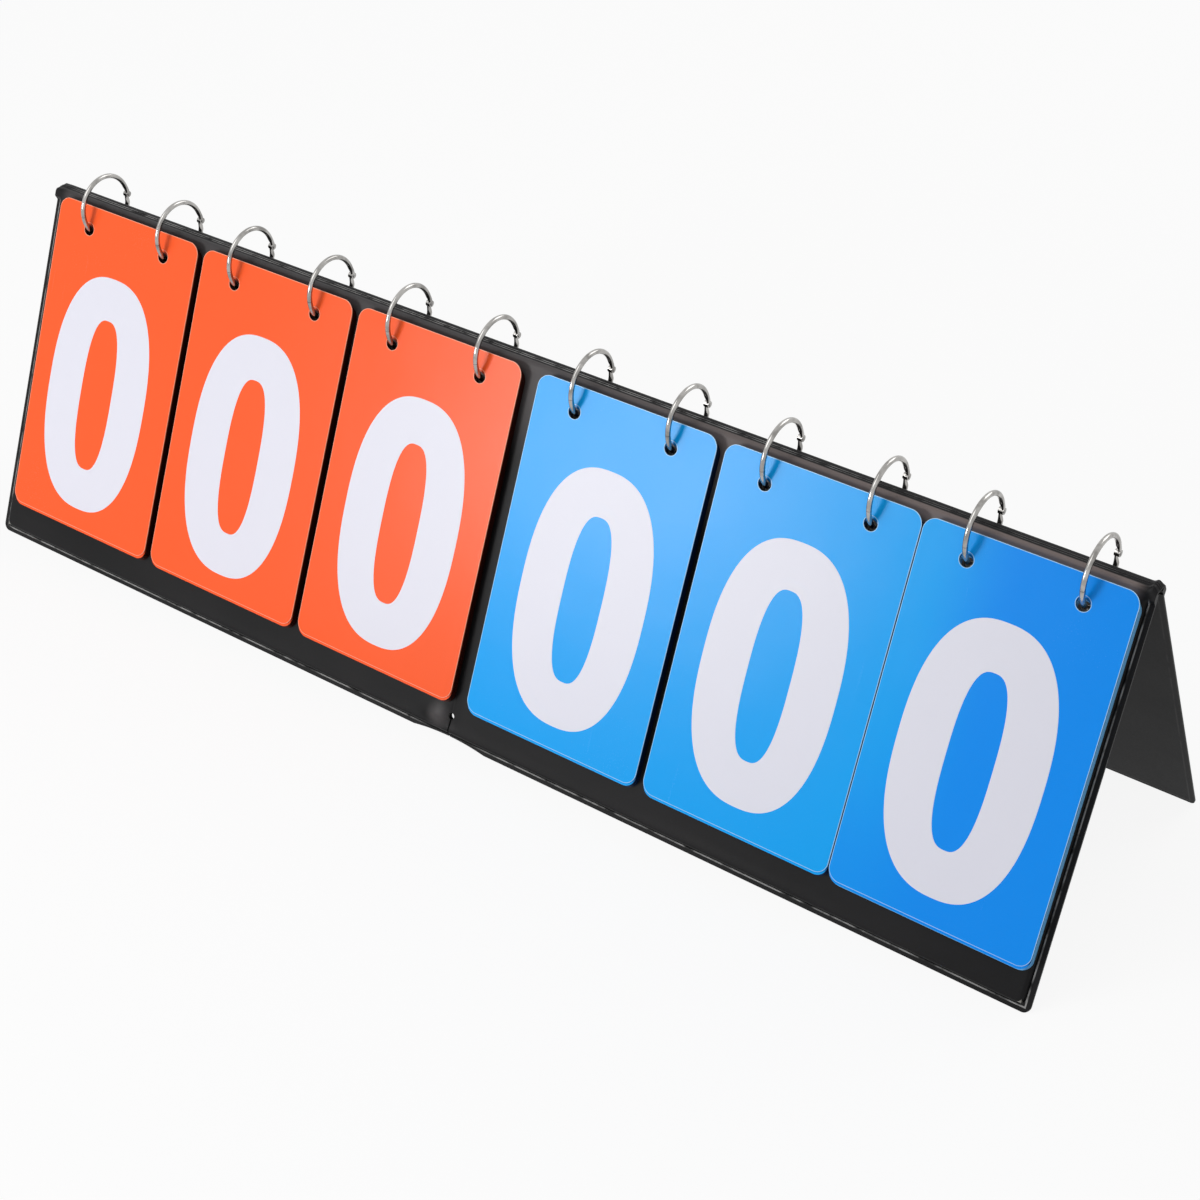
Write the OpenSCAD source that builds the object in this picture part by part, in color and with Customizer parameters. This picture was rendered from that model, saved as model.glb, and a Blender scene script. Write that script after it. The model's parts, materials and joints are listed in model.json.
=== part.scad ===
// Tabletop flip scoreboard. Two covered boards, creased along a narrow spine, stand on the
// table as a tent. Six stacks of number cards hang on pairs of book rings, which pass through
// both boards and over the spine, so that a card turned over the top ends up at the back.
// X runs along the stand, the cards face -Y and Z is up. The origin is on the table, under
// the middle of the spine.

/* [Stand] */
// Length of the stand along the table
board_len = 507; // [504:1:540]
// Slope height of each panel, from its crease to its bottom edge
panel_h = 153; // [146:1:180]
// Lean of each panel from upright, in degrees
lean = 24.6; // [22:0.2:27]
// Width of the spine between its two creases
spine_w = 6; // [5.6:0.1:7]
// Thickness of the stiff board inside each panel
core_t = 1.8; // [1.4:0.1:1.9]
// Thickness of one covering sheet
sheet_t = 0.4; // [0.3:0.05:0.5]
// Width of the welded seam around each panel
weld_w = 3; // [2.5:0.5:4]
// Corner radius of the covering at the bottom of a panel
panel_corner_r = 3; // [2:0.5:6]

/* [Centre seam] */
// Gap between the left and right boards of a panel, where it folds in half
core_gap = 4; // [3:0.5:6]
// Width of the shallow notch in the bottom edge
notch_w = 35; // [20:1:50]
// Height of the shallow notch in the bottom edge
notch_h = 1.4; // [0.8:0.1:1.8]
// Length of the slit that starts at the bottom edge
slit_len = 10; // [6:0.5:16]
// Width of the slit
slit_w = 0.6; // [0.4:0.1:1]
// Diameter of the round hole that ends the slit
relief_d = 2.6; // [1.6:0.2:3]
// Width of the fold line pressed into the outer sheet
score_w = 1.2; // [0.8:0.1:2]
// Depth of that fold line
score_d = 0.15; // [0.05:0.05:0.2]

/* [Weld ridges] */
// Width of a raised weld ridge
ridge_w = 1; // [0.6:0.1:1.2]
// Height of a weld ridge on the creases
ridge_h = 0.2; // [0.1:0.05:0.3]
// Height of the weld ridge around a panel's edge
edge_ridge_h = 0.35; // [0.2:0.05:0.45]
// Distance of the ridge from the panel's edge
edge_ridge_in = 2; // [1.9:0.1:2.2]
// Distance of a ridge from each crease
crease_ridge_in = 1.3; // [1:0.1:1.8]

/* [Cards] */
// Width of a number card
card_w = 79.5; // [76:0.5:79.5]
// Height of a number card
card_h = 135; // [120:1:137]
// Thickness of a number card
card_t = 0.3; // [0.2:0.02:0.3]
// Corner radius of a card
card_corner_r = 5; // [3:0.5:8]
// Number of cards in a stack
cards_in_stack = 10; // [6:1:10]
// Diameter of the punched holes in a card
card_hole_d = 5.4; // [5.2:0.1:6.5]
// Distance of the hole centres from a card's top edge
card_hole_in = 9.8; // [9:0.1:10]
// Distance between the two holes of a card
card_hole_span = 43; // [36:1:50]
// Distance from the stand's left end to the first card
end_margin = 8; // [6:0.5:9]
// Gap between stacks of one colour
column_gap = 3.5; // [2.5:0.5:4]
// Gap between the two colours, over the centre seam
team_gap = 8; // [7:0.5:9]
// Gap on the left of the last stack, which hangs close to its neighbour
last_gap = 0.5; // [0.4:0.1:3]
// How far the lower cards hang below the middle of the ring's wire
hang = 0.8; // [0.6:0.05:0.9]

/* [Rings] */
// Radius of a ring to the middle of its wire
ring_r = 12.5; // [12.4:0.05:13.2]
// Diameter of the ring's wire
wire_d = 2; // [1.6:0.1:2.1]
// Distance down the slope at which a ring meets the panel's face
ring_reach = 12.5; // [12.1:0.05:12.7]
// Diameter of the punched holes in the panels
panel_hole_d = 6; // [5.6:0.1:7]
// Diameter of the ring's hinge knuckle
knuckle_d = 2.6; // [2.4:0.05:2.7]
// Diameter of the rivet in the knuckle
rivet_d = 0.9; // [0.7:0.05:1]
// Diameter of the peg that snaps the ring shut
peg_d = 0.8; // [0.6:0.05:0.9]
// Length of that peg
peg_len = 1.2; // [0.8:0.1:1.6]

/* [Clearances] */
// Gap at each crease between the panel's sheets and the spine's
crease_gap = 0.1; // [0.05:0.05:0.2]
// Gap between a board and the wall of its pocket
core_clear = 0.1; // [0.05:0.05:0.2]
// Gap between the panel's face and the last card of a stack
face_gap = 0.1; // [0.05:0.05:0.2]
// Air between two cards
card_air = 0.03; // [0.02:0.01:0.04]
// Gap behind the top card, which turns
lift_gap = 0.3; // [0.25:0.05:0.4]
// Gap between the two leaves of a ring's knuckle
leaf_gap = 0.1; // [0.06:0.02:0.16]
// Radial gap around the knuckle, where the other half is cut away
knuckle_clear = 0.15; // [0.1:0.05:0.25]
// Radial gap around the rivet
rivet_clear = 0.03; // [0.02:0.01:0.06]
// Gap at the ring's snap
snap_gap = 0.1; // [0.06:0.02:0.2]
// Radial gap around the snap's peg
peg_clear = 0.1; // [0.06:0.02:0.12]

/* [Hidden] */
$fn = 48;
TEAMS = ["orange", "blue"];
PLACES = ["hundreds", "tens", "units"];
STACKS = [for (team = TEAMS, place = PLACES) str(team, "_", place)];
SIDES = [-1, 1];
SIDE_NAMES = ["left", "right"];
PANELS = ["front", "rear"];
per_team = len(PLACES);
last_stack = len(STACKS) - 1;

vinyl_black = "#2b2b2b";
lining_black = "#1f1f1f";
board_grey = "#8c8a84";
team_colours = ["#fb6435", "#2f93e6"];
nickel = "#c9ccd0";

// A panel in its own frame: X along the stand, Y up the slope from the crease and Z out of
// its face, so its outer face is at Z = 0 and its inner face at Z = -panel_t.
panel_t = core_t + 2 * sheet_t;
seam_z = sheet_t - panel_t;
crease_z = panel_h * cos(lean) + (panel_t - 2 * sheet_t) * sin(lean);
over = 1;

// The ring's centre lies under the middle of the spine, where its circle meets both faces
// at ring_reach below their creases.
wire_r = wire_d / 2;
ring_drop = ring_reach * cos(lean)
    - sqrt(pow(ring_r, 2) - pow(spine_w / 2 + ring_reach * sin(lean), 2));
ring_z = crease_z - ring_drop;
knuckle_r = knuckle_d / 2;

// Slope distance, from the crease, at which the ring's circle crosses the level z of a panel
along = spine_w / 2 * sin(lean) - ring_drop * cos(lean);
function to_ring_sq(z) = pow(spine_w / 2 + z * cos(lean), 2) + pow(z * sin(lean) + ring_drop, 2)
    - pow(ring_r, 2);
function crossing(z) = -along + sqrt(pow(along, 2) - to_ring_sq(z));
panel_hole_in = (crossing(0) + crossing(-panel_t)) / 2;

// Level of the middle of each card in a stack, counted from the panel outwards
function deck_level(k) = face_gap + card_t / 2 + k * (card_t + card_air);
top_level = deck_level(cards_in_stack - 2) + card_t + lift_gap;

// Middle of a stack along the stand
function stack_x(i) = -board_len / 2 + end_margin + card_w / 2 + i * (card_w + column_gap)
    + (i >= per_team ? team_gap - column_gap : 0)
    + (i == last_stack ? last_gap - column_gap : 0);
function ring_x(i, side) = stack_x(i) + side * card_hole_span / 2;
function team_of(i) = floor(i / per_team);
ring_places = [for (i = [0 : last_stack], side = SIDES) ring_x(i, side)];

// Places the frame of the front panel, or of the rear one
module on_panel(p) {
    mirror([0, p, 0])
        translate([0, -spine_w / 2, crease_z])
            rotate([90 - lean, 0, 0])
                children();
}

// Rectangle from y = top down to y = bottom with its two bottom corners rounded
module hanging_outline(width, top, bottom, r) {
    translate([-width / 2, bottom + r]) square([width, top - bottom - r]);
    translate([-width / 2 + r, bottom]) square([width - 2 * r, 2 * r]);
    for (side = SIDES)
        translate([side * (width / 2 - r), bottom + r]) circle(r);
}

// Outline of a panel, drawn in from its edges by inset
module panel_outline(inset, top) {
    hanging_outline(board_len - 2 * inset, -top, -(panel_h - inset),
        max(panel_corner_r - inset, sheet_t));
}

// Shallow notch, slit and relief hole at the bottom of the centre seam
module seam_relief() {
    notch_r = (pow(notch_w / 2, 2) + pow(notch_h, 2)) / (2 * notch_h);
    translate([0, -panel_h + notch_h - notch_r]) circle(notch_r, $fn = 240);
    translate([-slit_w / 2, -panel_h - over]) square([slit_w, slit_len + over]);
    translate([0, -panel_h + slit_len]) circle(d = relief_d);
}

// Round holes for all the rings, through a whole panel
module ring_holes() {
    for (x = ring_places)
        translate([x, -panel_hole_in, -panel_t - over])
            cylinder(d = panel_hole_d, h = panel_t + 2 * over);
}

// Removes what lies above the mitre at a crease, so that the stand can fold shut
module crease_mitre() {
    translate([-board_len, 0, 0])
        rotate([-45, 0, 0])
            translate([0, -crease_gap / sqrt(2), -4 * panel_t])
                cube([2 * board_len, 4 * panel_t, 8 * panel_t]);
}

// Straight ridge along X with a round top, height h above z = 0
module ridge_along(len, w, h) {
    r = (pow(w / 2, 2) + pow(h, 2)) / (2 * h);
    translate([-len / 2, 0, h - r])
        rotate([0, 90, 0])
            cylinder(r = r, h = len);
}

// Ridges that follow the left, right and bottom edges of a panel, on its welded seam
module edge_ridges() {
    reach = panel_h - edge_ridge_in;
    intersection() {
        translate([0, 0, seam_z + sheet_t]) union() {
            translate([0, -reach, 0]) ridge_along(board_len - 2 * edge_ridge_in, ridge_w, edge_ridge_h);
            for (side = SIDES)
                translate([side * (board_len / 2 - edge_ridge_in), -(reach + weld_w) / 2, 0])
                    rotate(90) ridge_along(reach - weld_w, ridge_w, edge_ridge_h);
        }
        translate([0, 0, seam_z + sheet_t / 2])
            linear_extrude(panel_t) panel_outline(edge_ridge_in - ridge_w / 2, weld_w);
    }
}

// Outer sheet of a panel: a shallow tray over the boards with a flat seam around it
module cover_sheet_form() {
    difference() {
        union() {
            translate([0, 0, seam_z])
                linear_extrude(sheet_t) panel_outline(0, weld_w);
            translate([0, 0, seam_z])
                linear_extrude(-seam_z) panel_outline(weld_w, weld_w);
            translate([0, 0, -sheet_t])
                linear_extrude(sheet_t) panel_outline(weld_w, 0);
            translate([-board_len / 2, -weld_w - sheet_t, -sheet_t])
                cube([board_len, weld_w + sheet_t, sheet_t]);
            translate([-board_len / 2, -weld_w - sheet_t, seam_z])
                cube([board_len, sheet_t, -seam_z]);
            translate([0, -crease_ridge_in, 0])
                ridge_along(board_len, ridge_w, ridge_h);
            edge_ridges();
        }
        translate([0, 0, seam_z - over])
            linear_extrude(-seam_z - sheet_t + over)
                hanging_outline(board_len - 2 * (weld_w + sheet_t), 0,
                    -(panel_h - weld_w - sheet_t), sheet_t);
        translate([-score_w / 2, -panel_h, -score_d])
            cube([score_w, panel_h - weld_w, over]);
        translate([0, 0, -panel_t - over])
            linear_extrude(panel_t + 2 * over) seam_relief();
        ring_holes();
        crease_mitre();
    }
}

// Inner sheet of a panel: flat, with a step up to the outer sheet above the boards
module lining_sheet_form() {
    top_len = board_len - 2 * (weld_w + sheet_t + core_clear);
    difference() {
        union() {
            translate([0, 0, -panel_t])
                linear_extrude(sheet_t) panel_outline(0, weld_w);
            translate([-top_len / 2, -weld_w - sheet_t, -panel_t])
                cube([top_len, 2 * sheet_t, sheet_t]);
            translate([-top_len / 2, -weld_w, -panel_t])
                cube([top_len, sheet_t, panel_t - sheet_t]);
            translate([-top_len / 2, -weld_w, -2 * sheet_t])
                cube([top_len, weld_w, sheet_t]);
        }
        translate([0, 0, -panel_t - over])
            linear_extrude(panel_t + 2 * over) seam_relief();
        ring_holes();
        crease_mitre();
    }
}

// Stiff board inside one half of a panel
module board_form(side) {
    inner = core_gap / 2;
    outer = board_len / 2 - weld_w - sheet_t - core_clear;
    low = -(panel_h - weld_w - sheet_t - core_clear);
    high = -(weld_w + core_clear);
    difference() {
        translate([side > 0 ? inner : -outer, low, seam_z])
            cube([outer - inner, high - low, core_t]);
        ring_holes();
    }
}

// Takes away what would reach below the table
module stand_on_table() {
    difference() {
        children();
        translate([-board_len, -panel_h, -2 * panel_t])
            cube([2 * board_len, 2 * panel_h, 2 * panel_t]);
    }
}

module cover_sheet(p) {
    color(vinyl_black) stand_on_table() on_panel(p) cover_sheet_form();
}

module lining_sheet(p) {
    color(lining_black) stand_on_table() on_panel(p) lining_sheet_form();
}

module board(p, side) {
    color(board_grey) on_panel(p) board_form(side);
}

// Strip of sheet between the two creases, from the level -depth - sheet_t up to -depth
module spine_strip_form(depth) {
    half = spine_w / 2 - crease_gap;
    rotate([90, 0, 90])
        translate([0, 0, -board_len / 2])
            linear_extrude(board_len)
                polygon([
                    [-half + depth, -depth], [half - depth, -depth],
                    [half - depth - sheet_t, -depth - sheet_t],
                    [-half + depth + sheet_t, -depth - sheet_t]]);
}

module spine_cover_strip() {
    color(vinyl_black)
        translate([0, 0, crease_z]) {
            spine_strip_form(0);
            for (side = SIDES)
                translate([0, side * (spine_w / 2 - crease_ridge_in), 0])
                    intersection() {
                        ridge_along(board_len, ridge_w, ridge_h);
                        translate([-board_len, -ridge_w, -sheet_t / 2])
                            cube([2 * board_len, 2 * ridge_w, sheet_t]);
                    }
        }
}

module spine_lining_strip() {
    color(lining_black) translate([0, 0, crease_z]) spine_strip_form(sheet_t);
}

// Number card, hanging from y = 0, with its middle at z = 0
module card_form() {
    translate([0, 0, -card_t / 2])
        linear_extrude(card_t)
            difference() {
                union() {
                    translate([-card_w / 2, -card_h + card_corner_r])
                        square([card_w, card_h - 2 * card_corner_r]);
                    translate([-card_w / 2 + card_corner_r, -card_h])
                        square([card_w - 2 * card_corner_r, card_h]);
                    for (sx = SIDES, y = [-card_corner_r, -card_h + card_corner_r])
                        translate([sx * (card_w / 2 - card_corner_r), y]) circle(card_corner_r);
                }
                for (sx = SIDES)
                    translate([sx * card_hole_span / 2, -card_hole_in]) circle(d = card_hole_d);
            }
}

// Places a card of stack i at a level in front of the panel, with its holes below the ring's wire
module hung_card(i, level, below) {
    on_panel(0)
        translate([stack_x(i), card_hole_in - crossing(level) - below, level])
            card_form();
}

// Cards that wait behind the top one
module card_deck(i) {
    color(team_colours[team_of(i)])
        for (k = [0 : cards_in_stack - 2]) hung_card(i, deck_level(k), hang);
}

// Front card of the stack, the one that shows the score and turns over
module top_card(i) {
    color(team_colours[team_of(i)]) hung_card(i, top_level, 0);
}

// Frame of a ring: X along its axis, Y towards the rear, Z up
module on_ring(i, side) {
    translate([ring_x(i, side), 0, ring_z]) children();
}

// Wire bent along the ring from one angle to another, counted from straight down to the rear
module wire_arc(from, to) {
    rotate([0, 90, 0]) rotate(from)
        rotate_extrude(angle = to - from, $fn = 96)
            translate([ring_r, 0]) circle(wire_r, $fn = 32);
}

// Cylinder along X at a ring's hinge, on one side of the ring's middle plane
module at_hinge(r, side, from, to) {
    translate([side > 0 ? from : -to, ring_r, 0])
        rotate([0, 90, 0]) cylinder(r = r, h = to - from);
}

// Half ring with a flat leaf and eye at its hinge end: leaf is the side of the leaf along X
module half_ring(from, to, leaf) {
    difference() {
        union() {
            difference() {
                wire_arc(from, to);
                at_hinge(knuckle_r + knuckle_clear, -leaf, -leaf_gap / 2, wire_d);
                at_hinge(knuckle_r, leaf, -over, wire_d);
            }
            at_hinge(knuckle_r, leaf, leaf_gap / 2, wire_r);
        }
        at_hinge(rivet_d / 2 + rivet_clear, 1, -wire_d, wire_d);
    }
}

snap_angle = asin(snap_gap / 2 / ring_r);

// Lower halves of a stack's two rings, which pass through the panels and the cards
module ring_hoops(i) {
    color(nickel)
        for (side = SIDES)
            on_ring(i, side)
                difference() {
                    half_ring(-90 + snap_angle, 90, -1);
                    translate([0, -ring_r, -peg_len - snap_gap])
                        cylinder(d = peg_d + 2 * peg_clear, h = peg_len + over, $fn = 24);
                }
}

// Upper half of one ring, which opens about the rivet, with the peg that snaps it shut
module ring_gate(i, side) {
    color(nickel)
        on_ring(i, side) {
            half_ring(90, 270 - snap_angle, 1);
            translate([0, -ring_r, -peg_len])
                cylinder(d = peg_d, h = peg_len + wire_r, $fn = 24);
        }
}

// Rivets of a stack's two rings
module ring_rivets(i) {
    color("silver")
        for (side = SIDES)
            on_ring(i, side) at_hinge(rivet_d / 2, 1, -wire_r, wire_r);
}

for (p = [0, 1]) {
    cover_sheet(p);
    lining_sheet(p);
    for (s = [0, 1])
        board(p, SIDES[s]);
}
spine_cover_strip();
spine_lining_strip();
for (i = [0 : last_stack]) {
    card_deck(i);
    top_card(i);
    ring_hoops(i);
    ring_rivets(i);
    for (s = [0, 1])
        ring_gate(i, SIDES[s]);
}
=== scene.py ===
"""Dresses the tabletop flip scoreboard: vinyl stand, number cards and book rings, in metres."""

from __future__ import annotations

import json
import logging
import math
from dataclasses import dataclass, field
from enum import Enum
from typing import Any, Callable, Iterable, Sequence

import bmesh
import bpy
import numpy as np
from mathutils import Matrix, Vector

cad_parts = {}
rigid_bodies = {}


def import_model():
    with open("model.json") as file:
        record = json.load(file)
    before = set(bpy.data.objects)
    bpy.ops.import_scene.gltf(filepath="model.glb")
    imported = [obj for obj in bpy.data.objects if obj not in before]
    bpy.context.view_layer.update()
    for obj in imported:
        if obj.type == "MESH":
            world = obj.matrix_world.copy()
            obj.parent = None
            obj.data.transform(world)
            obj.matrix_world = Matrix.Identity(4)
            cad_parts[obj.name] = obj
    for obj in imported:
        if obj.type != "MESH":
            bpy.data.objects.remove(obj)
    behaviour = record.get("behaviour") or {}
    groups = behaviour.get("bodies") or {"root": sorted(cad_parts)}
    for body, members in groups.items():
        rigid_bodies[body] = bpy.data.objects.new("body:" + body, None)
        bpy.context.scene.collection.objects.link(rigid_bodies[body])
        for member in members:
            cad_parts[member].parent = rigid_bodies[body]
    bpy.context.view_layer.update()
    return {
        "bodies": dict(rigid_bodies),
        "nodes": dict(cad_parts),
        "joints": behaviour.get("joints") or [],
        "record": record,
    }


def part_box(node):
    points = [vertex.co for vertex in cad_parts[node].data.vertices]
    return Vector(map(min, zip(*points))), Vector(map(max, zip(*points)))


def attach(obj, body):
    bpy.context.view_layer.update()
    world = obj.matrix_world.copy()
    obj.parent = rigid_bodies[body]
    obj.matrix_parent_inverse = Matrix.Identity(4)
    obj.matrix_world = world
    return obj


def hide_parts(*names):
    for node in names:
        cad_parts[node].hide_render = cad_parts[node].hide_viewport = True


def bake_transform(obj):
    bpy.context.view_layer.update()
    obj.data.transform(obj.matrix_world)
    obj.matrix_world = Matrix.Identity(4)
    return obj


LOG = logging.getLogger("scoreboard")
MM = 0.001
PLACES = ("hundreds", "tens", "units")
ENDS = ("left", "right")

Colour = tuple[float, float, float, float]
Point = tuple[float, float, float]
Span = tuple[float, float]


class Team(Enum):
    """The two teams, each with three stacks of cards."""

    ORANGE = "orange"
    BLUE = "blue"


class Side(Enum):
    """The two panels of the stand, with the turn that takes the front one to each."""

    FRONT = 0
    REAR = 180

    @property
    def word(self) -> str:
        """The side's name as the frame's nodes spell it."""
        return self.name.lower()


class RingPart(Enum):
    """Parts of a book ring, with the side along X of each half's flat leaf."""

    HOOP = -1
    GATE = 1
    RIVET = 0


def maths(operation: str, swapped: bool = False) -> Callable[..., Wave]:
    """Makes the method of a Wave that adds a Math node.

    Args:
        operation: The node's operation.
        swapped: Whether the other value comes first.

    Returns:
        The method.
    """

    def method(self: Wave, *other: Any) -> Wave:
        """Result of the operation on this value and the other, where it has one."""
        values = dict(enumerate((*other, self) if swapped else (self, *other)))
        return self.tree.node("ShaderNodeMath", {"operation": operation}, values)

    return method


class Wave:
    """A socket in a node tree that Python expressions can add, scale and compare."""

    def __init__(self, tree: NodeTree, socket: bpy.types.NodeSocket) -> None:
        """Wraps the output socket of a tree's node."""
        self.tree = tree
        self.socket = socket

    __add__ = __radd__ = maths("ADD")
    __sub__ = maths("SUBTRACT")
    __rsub__ = maths("SUBTRACT", swapped=True)
    __mul__ = __rmul__ = maths("MULTIPLY")
    __truediv__ = maths("DIVIDE")
    __rtruediv__ = maths("DIVIDE", swapped=True)
    __pow__ = maths("POWER")
    __abs__ = maths("ABSOLUTE")
    at_least = maths("MAXIMUM")
    at_most = maths("MINIMUM")

    def __neg__(self) -> Wave:
        """The value with its sign turned."""
        return self * -1

    def ramp(self, low: float, high: float) -> Wave:
        """Rises smoothly from 0 at low to 1 at high."""
        settings = {"interpolation_type": "SMOOTHSTEP", "clamp": True}
        return self.tree.node("ShaderNodeMapRange", settings, {0: self, 1: low, 2: high})


class NodeTree:
    """Adds nodes to a shader or geometry tree."""

    def __init__(self, tree: bpy.types.NodeTree) -> None:
        """Empties a tree, ready to be filled."""
        self.tree = tree
        self.tree.nodes.clear()

    def put(self, target: bpy.types.NodeSocket, value: Any) -> None:
        """Links a value to a socket, or writes it there.

        Args:
            target: The input socket.
            value: A Wave to link, or a plain value.
        """
        if isinstance(value, Wave):
            self.tree.links.new(value.socket, target)
        else:
            target.default_value = value

    def node(
        self,
        kind: str,
        settings: dict[str, Any] | None = None,
        inputs: dict[int | str, Any] | None = None,
        output: int | str = 0,
    ) -> Wave | None:
        """Adds one node.

        Args:
            kind: The node's type.
            settings: Properties of the node, set before its sockets.
            inputs: Values or links, by the input socket's index or name.
            output: Index or name of the output to return.

        Returns:
            The chosen output, or nothing where the node has none.
        """
        made = self.tree.nodes.new(kind)
        for name, value in (settings or {}).items():
            setattr(made, name, value)
        for key, value in (inputs or {}).items():
            for each in value if isinstance(value, list) else [value]:
                self.put(made.inputs[key], each)
        return Wave(self, made.outputs[output]) if len(made.outputs) else None

    def shown(self) -> Wave:
        """Tells where the camera sees a surface: straight, mirrored or through glass.

        Returns:
            1 on those rays, otherwise 0.
        """
        rays = ("Is Camera Ray", "Is Glossy Ray", "Is Transmission Ray")
        camera, glossy, through = (self.node("ShaderNodeLightPath", output=ray) for ray in rays)
        return camera.at_least(glossy).at_least(through)

    def parts(self, vector: Wave) -> tuple[Wave, Wave, Wave]:
        """Splits a vector into its three parts."""
        made = self.node("ShaderNodeSeparateXYZ", inputs={0: vector}).socket.node
        return tuple(Wave(self, output) for output in made.outputs)


class Surface(NodeTree):
    """A material with one Principled shader."""

    def __init__(self, name: str) -> None:
        """Makes the material.

        Args:
            name: Its name.
        """
        self.material = bpy.data.materials.new(name)
        self.material.use_nodes = True
        super().__init__(self.material.node_tree)
        self.place = self.node("ShaderNodeTexCoord", output="Object")

    def noise(self, scale: float, detail: float = 3, stretch: Vector | None = None) -> Wave:
        """Noise around 0.5 on the piece's own coordinates.

        Args:
            scale: Waves per metre.
            detail: Number of finer layers.
            stretch: Scale of the coordinates along each axis.

        Returns:
            The noise.
        """
        where = self.place
        if stretch is not None:
            where = self.node("ShaderNodeMapping", inputs={"Vector": where, "Scale": stretch})
        inputs = {"Vector": where, "Scale": scale, "Detail": detail}
        return self.node("ShaderNodeTexNoise", inputs=inputs)

    def mix(self, factor: Any, low: Any, high: Any) -> Wave:
        """Blends two colours: the first where the factor is 0, the second where it is 1."""
        inputs = {0: factor, 6: low, 7: high}
        return self.node("ShaderNodeMix", {"data_type": "RGBA"}, inputs, output=2)

    def bump(self, height: Wave, depth: float, under: Wave | None = None) -> Wave:
        """Turns a height into a normal.

        Args:
            height: Height from 0 to 1.
            depth: Real height in metres between 0 and 1.
            under: A bump that this one adds to.

        Returns:
            The normal.
        """
        inputs: dict[int | str, Any] = {"Strength": 1.0, "Distance": depth, "Height": height}
        if under is not None:
            inputs["Normal"] = under
        return self.node("ShaderNodeBump", inputs=inputs)

    def finish(self, **sockets: Any) -> bpy.types.Material:
        """Ends the material in a Principled shader.

        Args:
            sockets: Values or links by socket name, with spaces written as underscores.

        Returns:
            The material.
        """
        named = {name.replace("_", " "): value for name, value in sockets.items()}
        shader = self.node("ShaderNodeBsdfPrincipled", inputs=named)
        self.node("ShaderNodeOutputMaterial", inputs={"Surface": shader})
        return self.material


def tint(red: float, green: float, blue: float) -> Colour:
    """Turns a screen colour into the linear one that shaders use.

    Args:
        red: 0 to 255.
        green: 0 to 255.
        blue: 0 to 255.

    Returns:
        Linear red, green, blue and a full alpha.
    """
    values = [v / 255 for v in (red, green, blue)]
    linear = [v / 12.92 if v <= 0.04045 else ((v + 0.055) / 1.055) ** 2.4 for v in values]
    return (*linear, 1.0)


# Colours of the cards: their faces, the first two blue ones lightened by a painted sheen; the pale
# cut edge of a top card, also painted as a highlight line round its face; the painted shade on the
# sides of the cards under it, and the painted shadow line round the faces of those. The last blue
# stack has the plain blue face, with painted sheen towards its upper left, and sides painted lit.
# orange faces are the plain colour; the blue is lighter and greener than LAST_FACE, as painted
# sheen
FACES = {Team.ORANGE: tint(255, 96, 45), Team.BLUE: tint(0, 165, 247)}
# pale core of a cut edge, also used as the painted highlight line round a top card's face
PALE_CORE_AND_HIGHLIGHT = {Team.ORANGE: tint(255, 178, 148), Team.BLUE: tint(184, 224, 252)}
# painted shade on the sides of the cards under a top card, as in the dark gaps between stacks
PAINTED_SHADE_SIDES = {Team.ORANGE: tint(52, 15, 8), Team.BLUE: tint(8, 32, 66)}
# painted shadow line round the faces of the cards under a top card
PAINTED_SHADOW_LINES = {Team.ORANGE: tint(150, 50, 25), Team.BLUE: tint(0, 80, 145)}
# the plain blue of the cards, without the painted sheen
LAST_FACE = tint(0, 143, 246)
# the last stack's sides painted light, as sides lit with no stack beside them
PAINTED_LIT_LAST_SIDES = tint(120, 190, 240)
# How far each stack's numbers are printed to the right and upwards, in millimetres.
PRINT_SLID = [(-1.7, -0.2), (-0.9, -0.3), (0.0, 0.0), (0.3, 0.2), (-0.7, 1.3), (-0.3, 1.1)]


@dataclass(frozen=True)
class PanelFrame:
    """The slanted frame of a panel: X along the stand, Y up the slope, Z out of its face."""

    side: Side
    lean: float = math.radians(24.6)
    length: float = 507 * MM
    slope_height: float = 153 * MM
    spine_width: float = 6 * MM
    board_thickness: float = 1.8 * MM
    sheet_thickness: float = 0.4 * MM
    seam_width: float = 3 * MM
    bead_in: float = 2 * MM
    ridge_in: float = 2.5 * MM
    skin_drop: float = 3 * MM
    edge_band: float = 6 * MM

    @property
    def thickness(self) -> float:
        """Whole thickness of the panel."""
        return self.board_thickness + 2 * self.sheet_thickness

    @property
    def crease_height(self) -> float:
        """Height of the creases above the table."""
        raised = (self.thickness - 2 * self.sheet_thickness) * math.sin(self.lean)
        return self.slope_height * math.cos(self.lean) + raised

    @property
    def section(self) -> tuple[np.ndarray, np.ndarray]:
        """Crease of the front panel and the way up its slope, in the plane across the stand."""
        crease = np.array([-self.spine_width / 2, self.crease_height])
        return crease, np.array([math.sin(self.lean), math.cos(self.lean)])

    @property
    def matrix(self) -> Matrix:
        """Way from the panel's own coordinates to the stand's.

        Returns:
            The matrix.
        """
        turned = Matrix.Rotation(math.radians(self.side.value), 4, "Z")
        crease = Matrix.Translation((0, -self.spine_width / 2, self.crease_height))
        return turned @ crease @ Matrix.Rotation(math.pi / 2 - self.lean, 4, "X")

    def place(self, points: Any) -> np.ndarray:
        """Takes rows of points from the panel's coordinates to the stand's."""
        m = np.array(self.matrix)
        return np.asarray(points, float) @ m[:3, :3].T + m[:3, 3]

    def box(self, mesh: bpy.types.Mesh) -> tuple[np.ndarray, np.ndarray]:
        """Measures a mesh along the panel's own axes.

        Args:
            mesh: The mesh, in the stand's frame.

        Returns:
            Its lowest and highest corners in the panel's frame.
        """
        m = np.array(self.matrix.inverted())
        points = np.array([v.co for v in mesh.vertices]) @ m[:3, :3].T + m[:3, 3]
        return points.min(0), points.max(0)


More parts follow.
